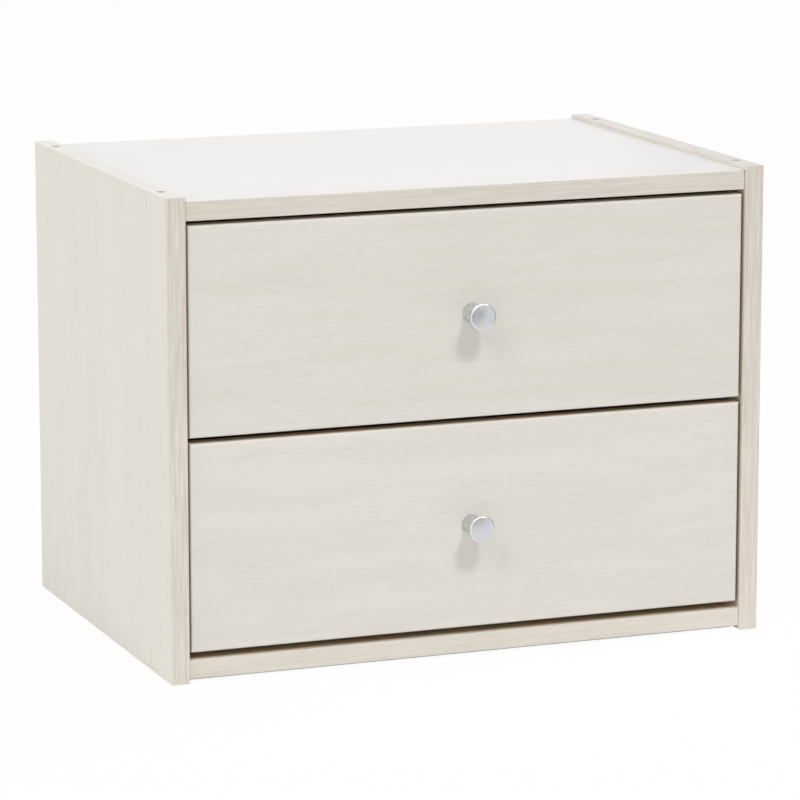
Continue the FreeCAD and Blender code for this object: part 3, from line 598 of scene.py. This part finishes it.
def cover_film(seat, lift):
    """Cream film on panels seat metres from the middle, with a painted highlight on its rim and a painted
    shadow along the seam at its foot.

    The painted highlight and shadow show most on the side turned to the front, and only a quarter as much
    elsewhere.
    """
    material, tree, shader, vector = new_material("cover film")
    haze = tree.noise(vector, 220.0)
    grit = tree.noise(vector, 5200.0, 2.0)
    to_front = tree.ramp(tree.parts(tree.normal())["Y"], -0.6, 0.1, 1.0, 0.25)
    rim = tree.product(tree.add("ShaderNodeAttribute", {"attribute_name": "rim"}).outputs["Fac"], to_front)
    outwards = tree.maths("ABSOLUTE", tree.parts(vector)["X"])
    painted_seam_shadow = tree.product(to_front, tree.ramp(outwards, seat, seat + COVER_SEAM_SHADOW * lift, 1.0, 0.0))
    colour = tree.blend(tree.spread(haze), srgb(225, 221, 210), srgb(228, 224, 214))
    # Painted highlight on the rim, strongest on the side turned to the front.
    colour = tree.blend(rim, colour, srgb(240, 238, 219))
    # Painted shadow along the seam at the film's foot.
    colour = tree.blend(painted_seam_shadow, colour, srgb(120, 112, 92))
    tree.surface(shader, colour, tree.spread(haze, 0.42, 0.56), grit, 0.25, 0.00004)
    return material


cover_low, cover_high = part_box("screw_covers")
panel_low, panel_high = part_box("left_side_panel")
cover_seat = -panel_low.x
cover_lift = panel_low.x - cover_low.x
cover_master = revolved("cover master", COVER_PROFILE, COVER_SIDES)
mark_rim(cover_master, *COVER_RIM_HIGHLIGHT)
cover_places = [((side * cover_seat, along, up), (side, 0.0, 0.0))
                for side in (-1.0, 1.0)
                for along in (cover_low.y + COVER_RADIUS, cover_high.y - COVER_RADIUS)
                for up in (cover_low.z + COVER_RADIUS, cover_high.z - COVER_RADIUS)]
covers = fittings("domed_screw_covers", cover_master, cover_places, 2 * COVER_RADIUS, cover_lift,
                  cover_film(cover_seat, cover_lift))
shade_by_angle(covers)
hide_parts("screw_covers")
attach(covers, "carcass")


# ---------------------------------------------------------------- joint hardware
# What holds the boards together, mostly out of sight: plated screws and cam bolts, cams cast in zinc
# with a cross slot, and plain beech dowels.

def plated_steel(name, tint, roughness):
    """Grey metal that has gone dull and darker in patches, with a fine grit."""
    material, tree, shader, vector = new_material(name)
    cloud = tree.noise(vector, 260.0, 4.0)
    grit = tree.noise(vector, 3800.0, 2.0)
    colour = tree.blend(tree.ramp(cloud, 0.35, 0.65), scaled(tint, 0.82), tint)
    patina = tree.spread(cloud, roughness + 0.12, roughness - 0.05)
    tree.surface(shader, colour, patina, grit, 0.3, 0.00005, Metallic=1.0)
    return material


def beech(name):
    """Bare pale wood, its fine streaks running from front to back."""
    material, tree, shader, vector = new_material(name)
    rays = tree.noise(tree.stretched(vector, (1.0, 0.2, 1.0)), 1400.0)
    colour = tree.blend(tree.ramp(rays, 0.35, 0.65), srgb(196, 158, 116), srgb(222, 189, 148))
    tree.surface(shader, colour, tree.spread(rays, 0.62, 0.75), rays, 0.4)
    return material


ZINC_PLATE = plated_steel("zinc-plated steel", srgb(196, 197, 194), 0.34)
CAST_ZINC = plated_steel("cast zinc", srgb(172, 172, 170), 0.46)
BEECH = beech("beech")
for name in ("carcass_screws", "runner_screws"):
    dress(name, ZINC_PLATE)
dress("carcass_dowels", BEECH)
for drawer in ("lower", "upper"):
    dress(drawer + "_drawer_back_screws", ZINC_PLATE)
    dress(drawer + "_drawer_cam_bolts", ZINC_PLATE)
    dress(drawer + "_drawer_cam_locks", CAST_ZINC)
    dress(drawer + "_drawer_dowels", BEECH)


# ---------------------------------------------------------------- runners
# Ribbed bars moulded in white plastic, screwed inside the panels.  The grooves of the drawers ride on
# them, which polishes the ribs' faces.

def moulded_plastic(name, seed):
    """White plastic with faint flow marks, rubbed lengthwise into fine scratches."""
    material, tree, shader, vector = new_material(name)
    flow = tree.noise(tree.stretched(vector, (1.0, 0.2, 1.0), (seed, 0.0, 0.0)), 90.0)
    scratches = tree.noise(tree.stretched(vector, (1.0, 0.015, 1.0)), 2600.0, 2.0)
    colour = tree.blend(tree.spread(flow), srgb(222, 221, 215), srgb(230, 229, 224))
    tree.surface(shader, colour, tree.ramp(scratches, 0.4, 0.7, 0.36, 0.5), scratches, 0.2, 0.00005)
    return material


for number, place in enumerate(("lower_left", "lower_right", "upper_left", "upper_right")):
    dress(place + "_runner", moulded_plastic(place + " runner plastic", 1.5 * number))


# ---------------------------------------------------------------- drawer fronts
# Solid boards wrapped in white wood-print paper with fine horizontal grain, the wrap folded round
# softly rounded edges.  Each front is cut from its own stretch of the print; the upper front's paper
# is a shade darker, a painted shade for the light that grows towards the floor.

# Painted shade: the upper front's tones are darker than the lower's.
FRONT_PAPERS = {"lower": (srgb(224, 220, 213), srgb(218, 214, 205), srgb(203, 198, 187)),
                "upper": (srgb(220, 217, 211), srgb(215, 211, 203), srgb(200, 195, 185))}
for number, drawer in enumerate(("lower", "upper")):
    node = drawer + "_drawer_front"
    # Painted shade on each front's edges, along the gaps round it.
    dress(node, printed_paper(drawer + " front paper", node, FRONT_PAPERS[drawer], grain="x", band_width=0.02,
                              pore_length=0.007, pore_strength=0.42, seed=31.0 + 7.7 * number,
                              rub_and_highlight_width=0.0022, gap=(0.03, None, ABOVE_ALL)))


# ---------------------------------------------------------------- drawer boxes
# Sides and back of thin board wrapped in plain white paper, open at the top, with a groove for the
# bottom.  The paper is a little duller than outside, and its print fainter than on the fronts.

for drawer in ("lower", "upper"):
    for number, (part, grain) in enumerate((("left_side", "y"), ("right_side", "y"), ("back", "x"))):
        node = "%s_drawer_%s" % (drawer, part)
        dress(node, printed_paper(node + " paper", node, PANEL_PAPER, grain, band_width=0.02,
                                  pore_length=0.009, pore_strength=0.3, seed=51.0 + 3.3 * number,
                                  roughness=0.5))


# ---------------------------------------------------------------- knobs
# Turned aluminium knobs, satin anodised: a hollow neck that flares out to a bright rounded edge about
# a faintly domed face.  A screw from inside the drawer holds each one.

# The knobs sit on the cabinet's middle plane, so the box of one gives its radius.
knob_low, knob_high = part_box("lower_knob")
KNOB_RADIUS = knob_high.x
KNOB_LENGTH = knob_high.y - knob_low.y
KNOB_SIDES = 96
# From the front board outwards: a short base ring, the neck, a straight land, the rounded edge, the dome.
KNOB_BASE_RADIUS = 0.0064
KNOB_BASE_LENGTH = 0.0010
KNOB_BASE_EASING = 0.0003
KNOB_LAND = 0.0003
KNOB_ROUND = 0.0010
KNOB_DOME = 0.0005
# The radius of the arc that hollows the neck.
NECK_CURVE = 0.0313
NECK_STEPS = 18
ROUND_STEPS = 7
DOME_STEPS = 12


def neck_points(steps):
    """The hollow curve from the base ring out to the land."""
    start = Vector((KNOB_BASE_RADIUS, KNOB_BASE_LENGTH))
    end = Vector((KNOB_RADIUS, KNOB_LENGTH - KNOB_DOME - KNOB_ROUND - KNOB_LAND))
    chord = end - start
    sideways = Vector((chord.y, -chord.x)).normalized()
    centre = (start + end) / 2 + sideways * math.sqrt(NECK_CURVE ** 2 - (chord.length / 2) ** 2)
    first = math.atan2(start.y - centre.y, start.x - centre.x)
    sweep = 2 * math.asin(chord.length / 2 / NECK_CURVE)
    return [(centre.x + NECK_CURVE * math.cos(first - sweep * step / steps),
             centre.y + NECK_CURVE * math.sin(first - sweep * step / steps)) for step in range(steps + 1)]


def round_points(steps):
    """The rounded edge, from the land to the rim of the face."""
    return [(KNOB_RADIUS - KNOB_ROUND * (1 - math.cos(step / steps * math.pi / 2)),
             KNOB_LENGTH - KNOB_DOME - KNOB_ROUND * (1 - math.sin(step / steps * math.pi / 2)))
            for step in range(steps)]


def dome_points(steps):
    """The face, from its rim to the middle, as a shallow dome."""
    rim = KNOB_RADIUS - KNOB_ROUND
    return [(rim * (1 - step / steps),
             KNOB_LENGTH - KNOB_DOME * (1 - step / steps) ** 2) for step in range(steps + 1)]


CUT_BLUR = 0.0001


def turned_aluminium(name, axis_x, axis_z, front):
    """Satin grey metal with fine turning rings; its rounded edge is cut last and is smoother."""
    material, tree, shader, vector = new_material(name)
    across_x, along, across_z = tree.parts(tree.stretched(vector, (1.0, 1.0, 1.0), (-axis_x, 0.0, -axis_z)))
    squares = tree.maths("ADD", tree.product(across_x, across_x), tree.product(across_z, across_z))
    from_axis = tree.maths("SQRT", squares)
    rings = tree.noise(tree.joined(from_axis, along, 0.0), 2400.0, 2.0, 0.5)
    cloud = tree.noise(vector, 160.0)

    rim = KNOB_RADIUS - KNOB_ROUND
    round_foot = front + KNOB_DOME + KNOB_ROUND
    cut = tree.product(tree.ramp(from_axis, rim - CUT_BLUR, rim + CUT_BLUR),
                       tree.ramp(along, round_foot, round_foot + CUT_BLUR, 1.0, 0.0))
    colour = tree.blend(tree.spread(cloud), srgb(210, 212, 214), srgb(217, 219, 221))
    colour = tree.blend(cut, colour, srgb(224, 225, 226))
    satin = tree.maths("ADD", tree.spread(rings, 0.25, 0.27), tree.spread(cloud, 0.0, 0.03))
    roughness = tree.maths("SUBTRACT", satin, tree.product(cut, 0.07))
    tree.surface(shader, colour, roughness, rings, 0.02, 0.00001, Metallic=1.0)
    return material


knob_profile = [(0.0, 0.0), (KNOB_BASE_RADIUS - KNOB_BASE_EASING, 0.0), (KNOB_BASE_RADIUS, KNOB_BASE_EASING)]
knob_profile += neck_points(NECK_STEPS)
knob_profile += round_points(ROUND_STEPS)
knob_profile += dome_points(DOME_STEPS)
for drawer in ("lower", "upper"):
    low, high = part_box(drawer + "_knob")
    centre = (low + high) / 2
    mesh = revolved(drawer + "_turned_knob", knob_profile, KNOB_SIDES)
    onto_front = Matrix.Translation((centre.x, high.y, centre.z))
    mesh.transform(onto_front @ Matrix.Rotation(math.radians(90), 4, "X"))
    knob = linked(drawer + "_turned_knob", mesh)
    shade_by_angle(knob, degrees=24)
    mesh.materials.append(turned_aluminium(drawer + " knob aluminium", centre.x, centre.z, low.y))
    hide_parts(drawer + "_knob")
    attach(knob, drawer + "_drawer")
    dress(drawer + "_knob_screw", ZINC_PLATE)


# ---------------------------------------------------------------- floor, light and camera
# A plain white sweep under a big soft lamp high in front, with weaker walls of light round it and a
# strip overhead for the metal.  A long-lens camera looks slightly down on the cabinet from its left.

FLOOR_SHADE = (0.9, 0.9, 0.9, 1.0)
FLOOR_ROUGHNESS = 0.9
UNDER_PAINTED_SHADOW = (0.45, 0.45, 0.45, 1.0)
# The floor under the cabinet, darkened by a painted shadow, ends this far behind the cabinet's front edge and
# before its back, and fades over this.
UNDER_INSET = 0.0095
UNDER_FADE = 0.003
SHADOW_SHARE = 0.05
FLOOR_REACH = 30.0
FLOOR_DROP = 0.0002


def seen_directly(tree):
    """1 for what the camera sees, straight or by way of a shiny or clear piece; 0 for other light."""
    rays = tree.add("ShaderNodeLightPath").outputs
    mirrored = tree.maths("MAXIMUM", rays["Is Glossy Ray"], rays["Is Transmission Ray"])
    return tree.maths("MAXIMUM", rays["Is Camera Ray"], mirrored)


def even_glow(tree, grey):
    """The same light from every point, where a grey of 1 shows as white."""
    return tree.add("ShaderNodeEmission", Color=(grey, grey, grey, 1.0), Strength=1.0).outputs[0]


def white_stage(name):
    """White to the camera and to shiny pieces, with a trace of its shading, and all of it underneath, where a
    painted shadow also darkens its colour.
    """
    material, tree, shader, vector = new_material(name)
    across, along = (tree.maths("ABSOLUTE", side) for side in tree.parts(vector)[:2])
    # The bay under the bottom board, between the panels' feet.
    bay_half = -panel_high.x
    bay_depth = panel_high.y - UNDER_INSET
    under = tree.product(tree.ramp(across, bay_half - UNDER_FADE, bay_half, 1.0, 0.0),
                         tree.ramp(along, bay_depth - UNDER_FADE, bay_depth, 1.0, 0.0))
    # Painted shadow: the floor's colour is darker under the cabinet.
    tree.feed(shader.inputs, "Base Color", tree.blend(under, FLOOR_SHADE, UNDER_PAINTED_SHADOW))
    tree.feed(shader.inputs, "Roughness", FLOOR_ROUGHNESS)
    whiteness = tree.product(seen_directly(tree), tree.ramp(under, 0.0, 1.0, 1.0 - SHADOW_SHARE, 0.0))
    mix = tree.add("ShaderNodeMixShader", slot0=whiteness, slot1=shader.outputs[0],
                   slot2=even_glow(tree, 1.0))
    tree.feed(material.node_tree.nodes["Material Output"].inputs, "Surface", mix.outputs[0])
    return material


def flat_face(name, corners, material):
    """An object of one four-cornered face."""
    mesh = bpy.data.meshes.new(name)
    mesh.from_pydata(corners, [], [(0, 1, 2, 3)])
    mesh.materials.append(material)
    return linked(name, mesh)


floor_corners = [(side * FLOOR_REACH, along * FLOOR_REACH, -FLOOR_DROP)
                 for side, along in ((-1, -1), (1, -1), (1, 1), (-1, 1))]
floor = flat_face("floor", floor_corners, white_stage("white floor"))

LAMP_TARGET = Vector((0.0, 0.0, 0.16))


def lamp(name, towards, distance, size, share, unseen_by=()):
    """A softbox that shines along towards at the cabinet's middle, round or of (width, height).

    share is the light that it gives a white face turned straight to it, where 1 shows as white.
    """
    data = bpy.data.lights.new(name, "AREA")
    if isinstance(size, tuple):
        data.shape = "RECTANGLE"
        data.size, data.size_y = size
    else:
        data.shape = "DISK"
        data.size = size
    # On its axis a lamp lights a face by power / (pi x distance squared), and white gives that back over pi.
    data.energy = share * math.pi ** 2 * distance ** 2
    item = linked(name, data)
    aim = Vector(towards).normalized()
    item.location = LAMP_TARGET - aim * distance
    item.rotation_euler = aim.to_track_quat("-Z", "Y").to_euler()
    for ray in ("camera",) + unseen_by:
        setattr(item, "visible_" + ray, False)


lamp("key softbox", (-2.5, 20.0, -22.6), distance=8.0, size=1.6, share=0.33, unseen_by=("glossy",))
lamp("second softbox", (21.8, 20.0, -24.5), distance=8.0, size=2.4, share=0.17, unseen_by=("glossy",))
lamp("left wall of light", (1.0, 0.1, -0.15), distance=6.0, size=2.6, share=0.235, unseen_by=("glossy",))
lamp("low front wall", (0.35, 1.0, -0.12), distance=4.0, size=(4.0, 1.0), share=0.05)
lamp("right wall of light", (-0.85, -0.15, -0.48), distance=5.0, size=1.2, share=0.27, unseen_by=("glossy",))
lamp("overhead strip, for the metal only", (0.05, 0.35, -0.94), distance=1.7, size=(3.4, 1.8), share=0.9,
     unseen_by=("diffuse",))


def studio_screen(name, start, end, height, grey):
    """A grey screen that stands on the line from start to end and gives the metal's highlights an edge."""
    material, tree = new_material(name)[:2]
    tree.feed(material.node_tree.nodes["Material Output"].inputs, "Surface", even_glow(tree, grey))
    screen = flat_face(name, [(*start, 0.0), (*end, 0.0), (*end, height), (*start, height)], material)
    for ray in ("camera", "diffuse", "transmission", "volume_scatter", "shadow"):
        setattr(screen, "visible_" + ray, False)


studio_screen("front screen", start=(-0.2, -1.1), end=(0.4, -1.1), height=0.27, grey=0.36)
studio_screen("right screen", start=(0.42, -0.6), end=(0.42, 0.5), height=0.5, grey=0.35)

WORLD_LEVEL = 0.42
world = bpy.data.worlds.new("studio")
bpy.context.scene.world = world
world.use_nodes = True
sky = Tree(world.node_tree)
backdrop = world.node_tree.nodes["Background"]
sky.feed(backdrop.inputs, "Color", (1.0, 1.0, 1.0, 1.0))
sky.feed(backdrop.inputs, "Strength", sky.ramp(seen_directly(sky), 0.0, 1.0, WORLD_LEVEL, 1.0))

CAMERA_PLACE = (-1.0289, -2.6589, 0.7055)
CAMERA_AIM = (0.35586, 0.91443, -0.19283)
LENS_MM = 191.6
SENSOR_MM = 36.0
camera_data = bpy.data.cameras.new("camera")
camera_data.lens = LENS_MM
camera_data.sensor_width = SENSOR_MM
camera = linked("camera", camera_data)
camera.location = CAMERA_PLACE
camera.rotation_euler = Vector(CAMERA_AIM).to_track_quat("-Z", "Y").to_euler()
bpy.context.scene.camera = camera
bpy.context.scene.view_settings.view_transform = "Standard"
